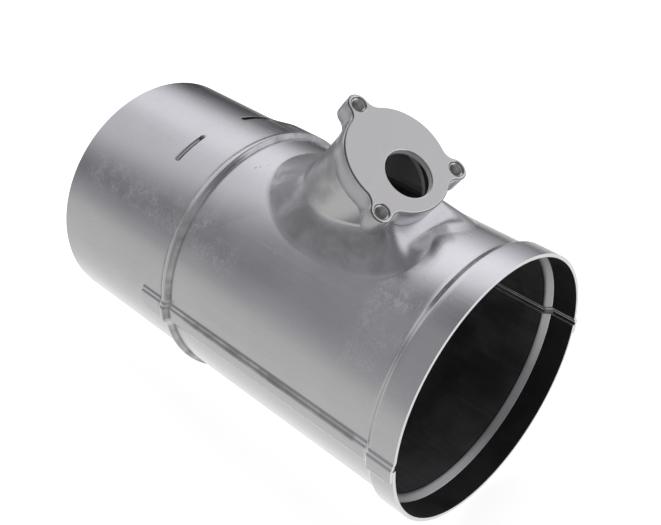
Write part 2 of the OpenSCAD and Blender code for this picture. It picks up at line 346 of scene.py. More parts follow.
# The rectangles taken out of the grid: along the tube from and to, then the angles
SLOT_RECT, SLOT_MARGIN = (62 * MM, 73 * MM), 11.0
NECK_RECT = (114 * MM, 248 * MM, -50.0, 50.0)


def index(values, v):
    return int(np.argmin(np.abs(values - v)))


def lip_reach(x):
    """Angle of the lip's edge: rounded off where the lip starts, and a little longer before the bead."""
    full = LIP_END - 90 + LIP_LONGER * (1 - ramp(x, 92 * MM, 106 * MM))
    t = np.clip((LAP_X + LIP_CORNER - x) / LIP_CORNER, 0, 1)
    return full * (0.25 + 0.75 * np.sqrt(1 - t * t))


def cut_and_patch(points, skip, xs, rels, rect, maker):
    """Takes a rectangle out of the grid; returns the rings that fill it, from its border inward."""
    i0, i1 = index(xs, rect[0]), index(xs, rect[1])
    j0, j1 = index(rels, rect[2]), index(rels, rect[3])
    skip[i0:i1, j0:j1] = True
    loop = rect_loop(i0, i1, j0, j1)
    border = [(xs[i], rels[j]) for i, j in loop]
    rings = maker(border)
    rings[0] = [points[i, j] for i, j in loop]
    return rings


def slot_patch(points, skip, rels, middle):
    """The rings of the tab slot whose middle is at this angle."""
    rect = (*SLOT_RECT, middle - SLOT_MARGIN, middle + SLOT_MARGIN)
    return cut_and_patch(points, skip, XS, rels, rect, lambda border: slot_rings(border, SLOT_X, middle))


def sheet_of(points, skip, patches):
    sheet = Sheet()
    sheet.grid(points, skip)
    for rings in patches:
        ring_patch(sheet, rings)
    return sheet


def upper_sheet():
    rels = spread([-LIP_END, -90, -JOGGLE_1, -JOGGLE_0, -50, -31, -9, 0, 9, 31, 50,
                   JOGGLE_0, JOGGLE_1, 90, LIP_END],
                  [0.5, 0.3, 0.22, 1.8, 0.64, 1.1, 1.125, 1.125, 1.1, 0.64, 1.8, 0.22, 0.3, 0.5])
    x, rel = np.meshgrid(XS, rels, indexing="ij")
    r = upper_r(x, rel)
    lip = np.sign(rel) * (90 + (np.abs(rel) - 90) * lip_reach(x) / (LIP_END - 90))
    rel = np.where(np.abs(rel) > 90, lip, rel)
    points = on_tube(x, rel, r)
    skip = np.zeros((len(XS) - 1, len(rels) - 1), bool)
    # before the laps there are no lips
    before = XS[:-1] < LAP_X - 0.1 * MM
    outside = (rels[:-1] < -90 + 1e-6) & (rels[1:] < -90 + 1e-6) | (rels[:-1] > 90 - 1e-6)
    skip[np.ix_(before, outside)] = True
    patches = [cut_and_patch(points, skip, XS, rels, NECK_RECT,
                             lambda border: [list(ring) for ring in zip(*neck_lines(border))])]
    patches += [slot_patch(points, skip, rels, middle) for middle in (SLOT_ANGLE, -SLOT_ANGLE)]
    return sheet_of(points, skip, patches)


def lower_sheet():
    rels = spread([90, 92, 149, 171, 180, 189, 211, 268, 270], [0.5, 1.9, 1.1, 1.8, 1.8, 1.1, 1.9, 0.5])
    x, rel = np.meshgrid(XS, rels, indexing="ij")
    # along the laps the lower shell's edges stop a little short, under the lips
    up = LOWER_SHORT * lapped(x)
    rel = rel + up * np.clip(1 - (rel - 90) / 3, 0, 1) - up * np.clip(1 - (270 - rel) / 3, 0, 1)
    points = on_tube(x, rel, lower_r(x))
    skip = np.zeros((len(XS) - 1, len(rels) - 1), bool)
    patches = [slot_patch(points, skip, rels, 180 + angle) for angle in (-SLOT_ANGLE, SLOT_ANGLE)]
    return sheet_of(points, skip, patches)


# Making pieces

def piece(node, mesh, mats):
    """The object that stands for a node, smooth, riding on the part's one body."""
    name = node + "_visual"
    obj = bpy.data.objects.new(name, mesh)
    bpy.context.scene.collection.objects.link(obj)
    for m in mats:
        mesh.materials.append(m)
    for p in mesh.polygons:
        p.use_smooth = True
    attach(obj, "root")
    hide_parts(node)
    return obj


def sharpen(mesh, degrees):
    """Marks edges sharper than this, and returns which they are."""
    bm = bmesh.new()
    bm.from_mesh(mesh)
    marked = []
    for e in bm.edges:
        sharp = len(e.link_faces) != 2 or e.calc_face_angle(0) > math.radians(degrees)
        e.smooth = not sharp
        marked.append(sharp)
    bm.to_mesh(mesh)
    bm.free()
    return marked


def bevel(obj, width, segments, degrees, keep=None):
    """Rounds the sharp edges, except those that keep(midpoint) says stay as they are."""
    mesh = obj.data
    marked = sharpen(mesh, degrees)
    attr = mesh.attributes.new("bevel_weight_edge", "FLOAT", "EDGE")
    for k, (e, sharp) in enumerate(zip(mesh.edges, marked)):
        if sharp:
            a, b = (mesh.vertices[v].co for v in e.vertices)
            attr.data[k].value = 0.0 if keep and keep((a + b) / 2) else 1.0
    mod = obj.modifiers.new("edges", "BEVEL")
    mod.width, mod.segments, mod.limit_method = width, segments, "WEIGHT"
    mod.use_clamp_overlap = True
    mod.harden_normals = False


def mesh_of(name, points, faces):
    mesh = bpy.data.meshes.new(name)
    mesh.from_pydata([tuple(float(c) for c in p) for p in points], [], faces)
    mesh.validate()
    return mesh


# Injector flange

def arc(centre, r, a0, a1, turn, step_deg):
    """Points round centre from angle a0 to a1, turning +1 or -1, with both ends."""
    sweep = (a1 - a0) * turn % (2 * math.pi)
    n = max(2, int(math.ceil(math.degrees(sweep) / step_deg)))
    return [(centre[0] + r * math.cos(a0 + turn * sweep * k / n),
             centre[1] + r * math.sin(a0 + turn * sweep * k / n)) for k in range(n + 1)]


SCREW_PCD, SCREW_SPREAD = 69 * MM, 113.6
SCREWS = [(SCREW_PCD / 2 * math.cos(math.radians(a)), SCREW_PCD / 2 * math.sin(math.radians(a)))
          for a in (180, -SCREW_SPREAD / 2, SCREW_SPREAD / 2)]
SCREW_R, SCREW_SIDES = 3.4 * MM, 40
THREAD_START, THREAD_PITCH, THREAD_DEPTH, RINGS_PER_PITCH = 1.1 * MM, 1.25 * MM, 0.495 * MM, 7
BORE_C, BORE_R, BORE_SIDES, LIP_DEPTH = (9 * MM, 0.0), 13.4 * MM, 96, 3.5 * MM
EAR_R, EAR_BLEND = 6.3 * MM, 7 * MM
SPIGOT_R, RECESS_R, SPIGOT_END = 28.05 * MM, 25.05 * MM, -19.5 * MM


def flange_outline():
    """The round flange with its ears, blended in; counter-clockwise."""
    out = []
    for u, v in sorted(SCREWS, key=lambda p: math.atan2(p[1], p[0]) % (2 * math.pi)):
        th, d = math.atan2(v, u), math.hypot(u, v)
        long_side, short_side = FLANGE_R + EAR_BLEND, EAR_R + EAR_BLEND
        # the blends' centres lie this far to either side of the ear
        swing = math.acos((long_side ** 2 + d ** 2 - short_side ** 2) / (2 * long_side * d))
        h0 = (long_side * math.cos(th - swing), long_side * math.sin(th - swing))
        h1 = (long_side * math.cos(th + swing), long_side * math.sin(th + swing))
        to0 = math.atan2(v - h0[1], u - h0[0])
        to1 = math.atan2(v - h1[1], u - h1[0])
        out.append((th - swing, th + swing,
                    arc(h0, EAR_BLEND, th - swing + math.pi, to0, -1, 5)[:-1]
                    + arc((u, v), EAR_R, to0 + math.pi, to1 + math.pi, 1, 6)[:-1]
                    + arc(h1, EAR_BLEND, to1, th + swing + math.pi, -1, 5)[:-1]))
    points = []
    for k, (lo, hi, ear) in enumerate(out):
        points += ear + arc((0, 0), FLANGE_R, hi, out[(k + 1) % 3][0], 1, 2.5)[:-1]
    return np.array(points)


def inset(points, by):
    t = np.roll(points, -1, 0) - np.roll(points, 1, 0)
    n = np.stack([t[:, 1], -t[:, 0]], 1) / np.linalg.norm(t, axis=1)[:, None]
    return points - n * by


def circle(c, r, n):
    a = np.arange(n) * 2 * math.pi / n
    return np.stack([c[0] + r * np.cos(a), c[1] + r * np.sin(a)], 1)


class Flange:
    """Rings in the flange's own frame, joined by walls and caps; each face keeps its material."""

    def __init__(self):
        self.points, self.faces, self.mats = [], [], []

    def ring(self, flat, h):
        base = len(self.points)
        self.points += [from_flange(u, v, h) for u, v in flat]
        return list(range(base, len(self.points)))

    def wall(self, a, b, mat=0):
        """Quads between two rings; seen along a to b the ring turns so that the outside is out."""
        n = len(a)
        for k in range(n):
            m = (k + 1) % n
            self.faces.append([a[k], b[k], b[m], a[m]])
            self.mats.append(mat)

    def profile(self, flat, rows):
        """A ring for each (inset, height, material of the wall after it), joined; flat is the outline."""
        rings = [self.ring(inset(flat, d), h) for d, h, mat in rows]
        for a, b, row in zip(rings[:-1], rings[1:], rows):
            self.wall(a, b, row[2])
        return rings[0], rings[-1]

    def turned(self, centre, rows, n, first=None):
        """A ring for each (radius, height, material of the wall before it) round centre, joined."""
        rings = [] if first is None else [first]
        for r, h, mat in rows:
            rings.append(self.ring(circle(centre, r, n)[::-1], h))
            if len(rings) > 1:
                self.wall(rings[-2], rings[-1], mat)
        return rings[0], rings[-1]

    def cap(self, outer, holes, flip, mat=0):
        """Triangles between an outer ring and its holes, all at one height."""
        loops = [outer] + holes
        flat = [v for loop in loops for v in loop]
        origin = np.array([FLANGE_X, 0, FLANGE_Z])
        axes = np.array([[COS, 0, -SIN], [0, 1, 0]])
        lists = [[(*(axes @ (self.points[v] - origin)), 0) for v in loop] for loop in loops]
        normal = np.array([SIN, 0, COS]) * (-1 if flip else 1)
        for tri in tessellate_polygon(lists):
            f = [flat[k] for k in tri]
            p = [self.points[v] for v in f]
            if np.dot(np.cross(p[1] - p[0], p[2] - p[0]), normal) < 0:
                f.reverse()
            self.faces.append(f)
            self.mats.append(mat)


# The flange's materials, in the order of its slots; the last is painted shade under the bore's lip
FACE, THREADS, RECESS, CHAMFERS, RIMS, SIDES, LIPS, RECESS_SHADE = range(8)


def flange_mesh():
    f = Flange()
    outline = flange_outline()
    bottom = -FLANGE_T
    # the rim's two rounded edges: inset and height in mm, material of the wall after it; the thin bright
    # bands are painted highlights and the dark chamfer between them painted shade
    edge = [(0.95, 0, RIMS), (0.72, -0.05, CHAMFERS), (0.14, -0.60, RIMS), (0, -0.82, SIDES)]
    under = [(0, 0.35, SIDES), (0.12, 0.12, SIDES), (0.35, 0, FACE)]
    rows = [(d * MM, h * MM, mat) for d, h, mat in edge]
    rows += [(d * MM, bottom + h * MM, mat) for d, h, mat in under]
    top_ring, bottom_ring = f.profile(outline, rows)
    holes_top, holes_bottom = [], []
    for c in SCREWS:
        # countersink with painted highlight rims round a painted dark chamfer, then a cut thread as a
        # spiral ridge down the hole
        rows = [(4.8 * MM, 0, FACE), (4.55 * MM, -0.12 * MM, RIMS),
                (3.90 * MM, -0.80 * MM, CHAMFERS), (3.55 * MM, -1.05 * MM, RIMS)]
        sink, last = f.turned(c, rows, SCREW_SIDES)
        count = int((FLANGE_T - THREAD_START) / (THREAD_PITCH / RINGS_PER_PITCH))
        for k in range(count + 1):
            h = THREAD_START + (FLANGE_T - THREAD_START - 0.1 * MM) * k / count
            a = -np.arange(SCREW_SIDES) * 2 * math.pi / SCREW_SIDES
            wave = (h / THREAD_PITCH + a / (2 * math.pi)) % 1
            grown = min(1, (h - THREAD_START) / MM * 1.5 + 0.1)
            r = SCREW_R + THREAD_DEPTH * np.abs(2 * wave - 1) * grown
            flat = np.stack([c[0] + r * np.cos(a), c[1] + r * np.sin(a)], 1)
            ring = f.ring(flat, -h)
            f.wall(last, ring, THREADS)
            last = ring
        end = f.turned(c, [(SCREW_R + 0.3 * MM, bottom, THREADS)], SCREW_SIDES, last)[1]
        holes_top.append(sink)
        holes_bottom.append(end)
    # the bore's mouth has the same painted highlight rims round a painted dark chamfer
    bore = [(BORE_R + 0.6 * MM, 0, FACE), (BORE_R + 0.3 * MM, -0.12 * MM, RIMS),
            (BORE_R, -0.45 * MM, CHAMFERS), (BORE_R, -LIP_DEPTH + 0.2 * MM, LIPS),
            (BORE_R + 0.2 * MM, -LIP_DEPTH, RIMS)]
    mouth, throat = f.turned(BORE_C, bore, BORE_SIDES)
    f.cap(top_ring, holes_top + [mouth], False)
    # painted shade: the roof under the bore's lip and the recess's wall just below it are near black;
    # lower down that wall, and the bore's lip wall, are painted bright as lit
    roof = f.ring(circle((0, 0), RECESS_R - 0.6 * MM, BORE_SIDES)[::-1], -LIP_DEPTH)
    f.cap(roof, [throat], True, RECESS_SHADE)
    inner = [(RECESS_R, -LIP_DEPTH - 0.6 * MM, RECESS_SHADE), (RECESS_R, -16.3 * MM, RECESS_SHADE),
             (RECESS_R, SPIGOT_END + 0.3 * MM, RECESS), (RECESS_R + 0.3 * MM, SPIGOT_END, RECESS),
             (SPIGOT_R - 0.3 * MM, SPIGOT_END, RECESS), (SPIGOT_R, SPIGOT_END + 0.3 * MM, RECESS),
             (SPIGOT_R, bottom, RECESS)]
    spigot = f.turned((0, 0), inner, BORE_SIDES, roof)[1]
    f.cap(bottom_ring, holes_bottom + [spigot], True)
    mesh = mesh_of("injector_flange_visual", f.points, f.faces)
    for p, mat in zip(mesh.polygons, f.mats):
        p.material_index = mat
    return mesh


# Seam welds

def weld_mesh(name, side):
    """A soft fillet that runs along the edge of one lip; side is +1 for the +Y one."""
    xs = XS[(XS > LAP_X + 0.9 * MM) & (XS < TUBE_LEN - 3 * MM)]
    # degrees past the lip's edge, and height over the lower shell
    section = [(-1.3, LIP_LIFT - 0.10 * MM), (-0.9, LIP_LIFT + 0.02 * MM), (-0.3, LIP_LIFT + 0.03 * MM),
               (0.4, LIP_LIFT * 0.84), (1.2, LIP_LIFT * 0.52), (2.0, LIP_LIFT * 0.24),
               (2.8, LIP_LIFT * 0.08), (3.4, 0.02 * MM), (3.9, -0.1 * MM)]
    s = Sheet()
    rows = []
    for x in xs:
        end = 90 + lip_reach(x)
        rows.append([on_tube(np.array(x), np.array(side * (end + d)), np.array(lower_r(x) + h))
                     for d, h in section])
    pts = np.array(rows)
    if side < 0:
        pts = pts[:, ::-1]
    s.grid(pts)
    return s.solid(name, 0.25 * MM)


# Materials

class Nodes:
    """Short names for building one node tree."""

    def __init__(self, tree):
        self.tree = tree
        tree.nodes.clear()

    def new(self, kind, **values):
        n = self.tree.nodes.new(kind)
        for k, v in values.items():
            if hasattr(n, k):
                setattr(n, k, v)
            else:
                self.put(n.inputs[k.replace("_", " ")], v)
        return n

    def put(self, socket, v):
        if isinstance(v, bpy.types.NodeSocket):
            self.tree.links.new(v, socket)
        else:
            socket.default_value = v

    def math(self, op, a, b=None, clamp=False):
        n = self.tree.nodes.new("ShaderNodeMath")
        n.operation, n.use_clamp = op, clamp
        for k, v in enumerate((a, b)):
            if v is not None:
                self.put(n.inputs[k], v)
        return n.outputs[0]

    def mul(self, a, b):
        return self.math("MULTIPLY", a, b)

    def add(self, a, b, clamp=False):
        return self.math("ADD", a, b, clamp)

    def sub(self, a, b, clamp=False):
        return self.math("SUBTRACT", a, b, clamp)

    def blend(self, a, b, t):
        """a where t is 0 and b where it is 1."""
        return self.add(self.mul(a, self.sub(1.0, t)), self.mul(b, t))

    def remap(self, v, a, b, lo=0.0, hi=1.0, smooth_step=True):
        n = self.tree.nodes.new("ShaderNodeMapRange")
        n.interpolation_type = "SMOOTHSTEP" if smooth_step else "LINEAR"
        for k, val in enumerate((v, a, b, lo, hi)):
            self.put(n.inputs[k], val)
        return n.outputs[0]

    def noise(self, vector, scale, detail=3.0, rough=0.5, distortion=0.0):
        n = self.tree.nodes.new("ShaderNodeTexNoise")
        self.put(n.inputs["Vector"], vector)
        self.put(n.inputs["Scale"], scale)
        self.put(n.inputs["Detail"], detail)
        self.put(n.inputs["Roughness"], rough)
        self.put(n.inputs["Distortion"], distortion)
        return n.outputs["Fac"]

    def scaled(self, vector, scale):
        n = self.tree.nodes.new("ShaderNodeMapping")
        self.put(n.inputs["Vector"], vector)
        n.inputs["Scale"].default_value = scale
        return n.outputs[0]


# Where the outside is scuffed: along the tube from, to, and angle from the top towards -Y from, to
WORN = [(0.006, 0.128, 36, 62), (0.104, 0.150, 44, 66), (0.222, 0.262, 22, 74)]
# Small scratches and pits: place along the tube, angle from the top towards -Y, radius
MARKS = [(0.1150, 13.5, 0.0009), (0.1165, 12.0, 0.0007), (0.1195, 9.0, 0.0006), (0.1480, 17.5, 0.0010)]
# How far the marks' outlines are pushed about
RAGGED = 1.2 * MM


def worn_patches(n, place):
    """Dull, pale scuffs in short strokes round the tube, gathered in a few patches."""
    xyz = n.new("ShaderNodeSeparateXYZ")
    n.put(xyz.inputs[0], place)
    x, y, z = xyz.outputs
    rel = n.mul(n.math("ARCTAN2", n.mul(y, -1.0), z), 180 / math.pi)
    area = 0.0
    for x0, x1, a0, a1 in WORN:
        along = n.mul(n.remap(x, x0, x0 + 0.010), n.remap(x, x1, x1 - 0.012))
        across = n.mul(n.remap(rel, a0, a0 + 9), n.remap(rel, a1, a1 - 9))
        area = n.math("MAXIMUM", area, n.mul(along, across))
    cluster = n.remap(n.noise(place, 85.0, 3.0, 0.6, 0.6), 0.38, 0.62)
    stroke = n.remap(n.noise(n.scaled(place, (900.0, 420.0, 420.0)), 1.0, 4.0, 0.62, 0.8), 0.36, 0.72)
    return n.mul(area, n.mul(cluster, stroke))


def marks(n, place):
    """Small dark scratches and pits."""
    rough = n.new("ShaderNodeVectorMath", operation="SCALE")
    n.put(rough.inputs[0], n.new("ShaderNodeTexNoise", Vector=place, Scale=900.0).outputs["Color"])
    rough.inputs["Scale"].default_value = RAGGED
    bent = n.new("ShaderNodeVectorMath", operation="ADD")
    n.put(bent.inputs[0], place)
    n.put(bent.inputs[1], rough.outputs[0])
    total = 0.0
    for x, rel, r in MARKS:
        a = math.radians(rel)
        gap = n.new("ShaderNodeVectorMath", operation="DISTANCE")
        n.put(gap.inputs[0], bent.outputs[0])
        spot = np.array([x, -TUBE_R * math.sin(a), TUBE_R * math.cos(a)]) + RAGGED / 2
        gap.inputs[1].default_value = tuple(spot)
        total = n.math("MAXIMUM", total, n.remap(gap.outputs["Value"], r, 0.3 * r))
    return n.mul(total, 0.45)


def steel(name, colour, rough, cloud=0.05, spots=0.0, streaks=0.0, bump=0.02, grain=0.03,
          rough_var=0.06, metal=1.0, painted_shade_and_wear=False):
    """Worn sheet steel: clouded colour, drawn streaks along the tube, pale scuffs and a fine grain; where
    asked, also painted shade, marks and worn patches.
    """
    mat = bpy.data.materials.new(name)
    mat.use_nodes = True
    n = Nodes(mat.node_tree)
    place = n.new("ShaderNodeTexCoord").outputs["Object"]
    big = n.noise(place, 26.0, 4.0, 0.55, 0.4)
    fine = n.noise(place, 1400.0, 2.0, 0.6)
    line = n.noise(n.scaled(place, (16.0, 420.0, 420.0)), 1.0, 4.0, 0.6)
    blotch = n.remap(n.noise(place, 75.0, 6.0, 0.68, 0.8), 0.54, 0.74)
    speck = n.remap(n.noise(place, 620.0, 4.0, 0.7), 0.50, 0.72)
    scuff = n.mul(blotch, speck)
    value = n.remap(big, 0.3, 0.7, 1 - cloud, 1 + cloud)
    value = n.mul(value, n.remap(fine, 0.3, 0.7, 1 - grain, 1 + grain))
    value = n.mul(value, n.remap(line, 0.3, 0.7, 1 - streaks, 1 + streaks))
    value = n.add(value, n.mul(scuff, spots))
    worn, dull = 0.0, 0.0
    if painted_shade_and_wear:
        # painted shade stored at the points and made uneven, then darker scratches and pits, and paler
        # worn patches
        dark = n.new("ShaderNodeAttribute", attribute_name="painted_shade").outputs["Fac"]
        uneven = n.remap(n.noise(place, 60.0, 3.0, 0.55, 0.5), 0.32, 0.68, 0.45, 1.45)
        dark = n.mul(dark, uneven)
        dull = n.mul(dark, 0.75)
        dark = n.add(dark, marks(n, place))
        worn = worn_patches(n, place)
        value = n.mul(value, n.sub(1.0, dark))
        value = n.add(value, n.mul(worn, 0.10))
    tone = n.new("ShaderNodeCombineColor")
    for k in range(3):
        n.put(tone.inputs[k], n.mul(value, colour[k]))
    shader = n.new("ShaderNodeBsdfPrincipled")
    n.put(shader.inputs["Base Color"], tone.outputs[0])
    n.put(shader.inputs["Metallic"], n.sub(metal, n.mul(worn, 0.28), clamp=True))
    r = n.remap(big, 0.3, 0.7, rough - rough_var, rough + rough_var)
    r = n.add(n.add(r, dull), n.mul(scuff, 0.35), clamp=True)
    r = n.add(r, n.mul(worn, 0.18))
    r = n.add(r, n.remap(line, 0.3, 0.7, -0.012, 0.012), clamp=True)
    n.put(shader.inputs["Roughness"], r)
    b = n.new("ShaderNodeBump")
    b.inputs["Strength"].default_value = bump
    b.inputs["Distance"].default_value = 0.0004
    n.put(b.inputs["Height"], n.add(n.mul(fine, 0.5), n.mul(scuff, 1.5)))
    n.put(shader.inputs["Normal"], b.outputs[0])
    out = n.new("ShaderNodeOutputMaterial")
    n.put(out.inputs[0], shader.outputs[0])
    return mat


OUTER = steel("shell_outside", (0.72, 0.72, 0.725), 0.23, cloud=0.03, spots=0.10, streaks=0.015,
              bump=0.012, grain=0.02, rough_var=0.03, painted_shade_and_wear=True)
INNER = steel("shell_inside", (0.12, 0.12, 0.12), 0.48, cloud=0.35, spots=0.15, streaks=0.10, metal=0.35)
COLLAR_IN = steel("collar_inside", (0.035, 0.035, 0.036), 0.48, cloud=0.35, spots=0.25, streaks=0.10,
                  metal=0.35)
# Painted light: the inside of the collar's step, lighter than the rest of the inside
BAND = steel("collar_step_inside", (0.46, 0.45, 0.45), 0.40, cloud=0.08, spots=0.1, metal=0.7)
# Painted highlight: the near white strips inside the laps
LAP_HIGHLIGHT = steel("lap_painted_highlight", (0.95, 0.95, 0.95), 0.50, cloud=0.05, metal=0.0)
# Cut edges of the sheet; inside the collar's step it is also the painted glint along the bends
EDGE = steel("sheared_edge_and_glint", (0.74, 0.74, 0.75), 0.38, cloud=0.04)
# Painted light: the inside near the neck, lighter than the rest of the inside as if lit through the bore
NECK_IN = steel("neck_inside", (0.34, 0.34, 0.34), 0.45, cloud=0.15, spots=0.05, metal=0.3)
FLANGE = steel("machined_flange", (0.76, 0.755, 0.735), 0.52, cloud=0.015, spots=0.03, grain=0.02,
               rough_var=0.02, metal=0.5)
THREAD = steel("cut_thread", (0.72, 0.72, 0.70), 0.30, cloud=0.05)
# Painted shade on the chamfers and painted highlights on the thin rims beside them
CHAMFER = steel("chamfer_painted_shade", (0.24, 0.24, 0.24), 0.24, cloud=0.03, grain=0.02)
SIDE = steel("milled_side", (0.68, 0.68, 0.69), 0.34, cloud=0.02, spots=0.02, rough_var=0.02, metal=0.85)
# Painted light: the bore's lip wall and the lower wall of the recess, near white as if lit
BORE_PAINTED_LIGHT = steel("bore_painted_light", (0.92, 0.92, 0.91), 0.45, cloud=0.02, grain=0.02, metal=0.15)
RIM_HIGHLIGHT = steel("rim_painted_highlight", (0.95, 0.95, 0.94), 0.22, cloud=0.02, grain=0.02)
WELD = steel("weld_bead", (0.70, 0.70, 0.705), 0.28, cloud=0.06, spots=0.1)
MIXER = steel("mixer_sheet", (0.48, 0.475, 0.47), 0.38, cloud=0.12, spots=0.08)

# Pieces

# The shells' materials and their places in the list
SHELL_MATS = [OUTER, INNER, BAND, EDGE, NECK_IN, COLLAR_IN, LAP_HIGHLIGHT]
OUTSIDE, INSIDE, BAND_ID, EDGE_AND_GLINT_ID, NECK_ID, COLLAR_ID, LAP_HIGHLIGHT_ID = range(7)
# Strips inside each lap, painted near white as highlights: angle from the top, from and to
LAP_STRIPS = ((87.2, 88.2), (89, 89.9))


def inside_material(c):
    """Material of an inside face whose middle is c."""
    h = (c.x - FLANGE_X) * SIN + (c.z - FLANGE_Z) * COS
    near_neck = h > -58 * MM and abs(c.y) < 34 * MM and c.z > 60 * MM
    rel = math.degrees(math.atan2(abs(c.y), c.z))
    # the inside of the collar's step is painted lighter as lit, with painted glints along its two bends
    if STEP_X + 0.9 * MM < c.x < STEP_X + STEP_LEN - 0.1 * MM:
        return BAND_ID
    if STEP_X + 0.5 * MM < c.x < STEP_X + STEP_LEN + 0.35 * MM:
        return EDGE_AND_GLINT_ID
    # painted highlights along the laps' insides
    if c.x > LAP_X and any(start < rel < end for start, end in LAP_STRIPS):
        return LAP_HIGHLIGHT_ID
    if c.x > STEP_X:
        return COLLAR_ID
    # inside faces near the neck are painted lighter, as if lit through the bore
    if near_neck and math.hypot(c.y, c.z) > TUBE_R - SHEET + 0.6 * MM:
        return NECK_ID
    return INSIDE


def paint_shell(mesh, count):
    """Gives each face its material; the points from count on are the inside's."""
    for p in mesh.polygons:
        low = sum(v >= count for v in p.vertices)
        if low == 0:
            p.material_index = OUTSIDE
        elif low == len(p.vertices):
            p.material_index = inside_material(p.center)
        elif SLOT_RECT[0] < p.center.x < SLOT_RECT[1] and p.center.y > 0:
            # the walls of the far slots are painted near black as shade
            p.material_index = COLLAR_ID
        else:
            p.material_index = EDGE_AND_GLINT_ID


def band_at(x, middle, half):
    """1 at the middle, falling smoothly to 0 at half a width away."""
    return 1 - smooth(np.abs((x - middle) / half))


def fold_gap(x, rel):
    """How far these points of the outside lie beyond the fold; less than 0 on the flare."""
    gap = []
    for px, prel in zip(x, rel):
        fx, frel = fold_at(turns_at(px, prel)[1])
        to_point = math.hypot(px - FOLD_X, math.radians(prel) * TUBE_R)
        gap.append(to_point - math.hypot(fx - FOLD_X, math.radians(frel) * TUBE_R))
    return np.array(gap)


# How much darker the painted shade makes each place
ON_FLARE, ON_LEDGE, AT_FOLD, BEHIND_NECK = 0.26, 0.16, 0.36, 0.22
FOOT_BEFORE, FOOT_AFTER, ON_BEAD = 0.28, 0.20, 0.30
FAR_RIMS, NEAR_RIMS = 0.75, 0.30


def painted_shade(p):
    """How much darker painted shade makes the outside here, as the sum of its parts."""
    x, y, z = p.T
    r, rel = np.hypot(y, z), np.degrees(np.arctan2(y, z))
    u = (x - FLANGE_X) * COS - (z - FLANGE_Z) * SIN
    h = (x - FLANGE_X) * SIN + (z - FLANGE_Z) * COS
    by_neck = (z > 0) & (x > 118 * MM) & (x < 249 * MM)
    beside = smooth((np.hypot(u, y) - NECK_R - 0.3 * MM) / (3 * MM))
    # on the flare's slope, less so where it is drawn out into the ledge
    drawn = ramp(np.degrees(np.abs(np.arctan2(y, u))), LEDGE_END, LEDGE_START)
    lifted = smooth((r - TUBE_R - 0.1 * MM) / (0.8 * MM))
    below = 1 - smooth((h + (17 - 2.2 * drawn) * MM) / (3 * MM))
    flare = (ON_FLARE + (ON_LEDGE - ON_FLARE) * drawn) * lifted * beside * below * by_neck
    # along the fold's end towards the inlet
    gap = fold_gap(x, rel)
    border = np.where(gap > 0, 1 - smooth(gap / (7 * MM)), 1 - smooth(-gap / (2.5 * MM)))
    inlet_end = ramp(x, 222 * MM, 226 * MM) * by_neck * band_at(y, -4 * MM, 26 * MM)
    border = AT_FOLD * border * inlet_end
    # on the neck's side towards the outlet
    neck = BEHIND_NECK * (1 - beside) * smooth(-u / (12 * MM)) * by_neck
    # at the bead's two feet, and on its slope towards the inlet but for a stretch beside the top
    feet = FOOT_BEFORE * band_at(x, BEAD_X - BEAD_BEFORE + 0.4 * MM, 1.0 * MM)
    feet = feet + FOOT_AFTER * band_at(x, BEAD_X + BEAD_AFTER, 0.8 * MM)
    slope = ON_BEAD * band_at(x, BEAD_X + 0.6 * BEAD_AFTER, BEAD_AFTER)
    slope = slope * (ramp(-rel, 35, 55) + ramp(rel, -12, 3))
    # on the slots' rolled rims
    rolled = smooth((TUBE_R - r - 0.01 * MM) / (0.05 * MM)) * (x < SLOT_RECT[1])
    rims = np.where(y > 0, FAR_RIMS, NEAR_RIMS) * rolled
    return np.maximum(flare, border) + neck + feet + slope + rims


def add_painted_shade(mesh, count):
    """Stores the painted shade at each point of the outside; the other faces have none."""
    points = np.empty(len(mesh.vertices) * 3)
    mesh.vertices.foreach_get("co", points)
    values = painted_shade(points.reshape(-1, 3))
    values[count:] = 0
    mesh.attributes.new("painted_shade", "FLOAT", "POINT").data.foreach_set("value", values)


def butt(p):
    """The flush joint of the two shells before the laps."""
    return p.x < LAP_X - 0.5 * MM and abs(p.z) < 1.2 * MM and abs(p.y) > TUBE_R - 6 * MM


for node, sheet in (("upper_shell", upper_sheet()), ("lower_shell", lower_sheet())):
    shell = piece(node, sheet.solid(node + "_visual", SHEET), SHELL_MATS)
    paint_shell(shell.data, len(sheet.points))
    add_painted_shade(shell.data, len(sheet.points))
    bevel(shell, 0.28 * MM, segments=3, degrees=42, keep=butt)

for node, side in (("seam_weld_front", -1), ("seam_weld_rear", 1)):
    weld = piece(node, weld_mesh(node + "_visual", side), [WELD])
    sharpen(weld.data, degrees=50)

flange = piece("injector_flange", flange_mesh(),
               [FLANGE, THREAD, BORE_PAINTED_LIGHT, CHAMFER, RIM_HIGHLIGHT, SIDE, BORE_PAINTED_LIGHT, COLLAR_IN])
sharpen(flange.data, degrees=34)
# the caps are triangles and stay flat
for p in flange.data.polygons:
    p.use_smooth = len(p.vertices) == 4

# How far the mixer's tab ends are lowered in the near and far slots, and drawn towards the outlet
TAB_LOWER_NEAR, TAB_LOWER_FAR, TAB_NARROWER = 0.4 * MM, 1.3 * MM, 0.8 * MM


def thin_tabs(bm):
    """Lowers the ends of the mixer's tabs and makes them narrower on their inlet side."""
    for v in bm.verts:
        r = math.hypot(v.co.y, v.co.z)
        if r > TUBE_R - SHEET + 0.3 * MM:
            lower = TAB_LOWER_FAR if v.co.y > 0 else TAB_LOWER_NEAR
            v.co.y *= 1 - lower / r
            v.co.z *= 1 - lower / r
            if v.co.x > SLOT_X:
                v.co.x -= TAB_NARROWER


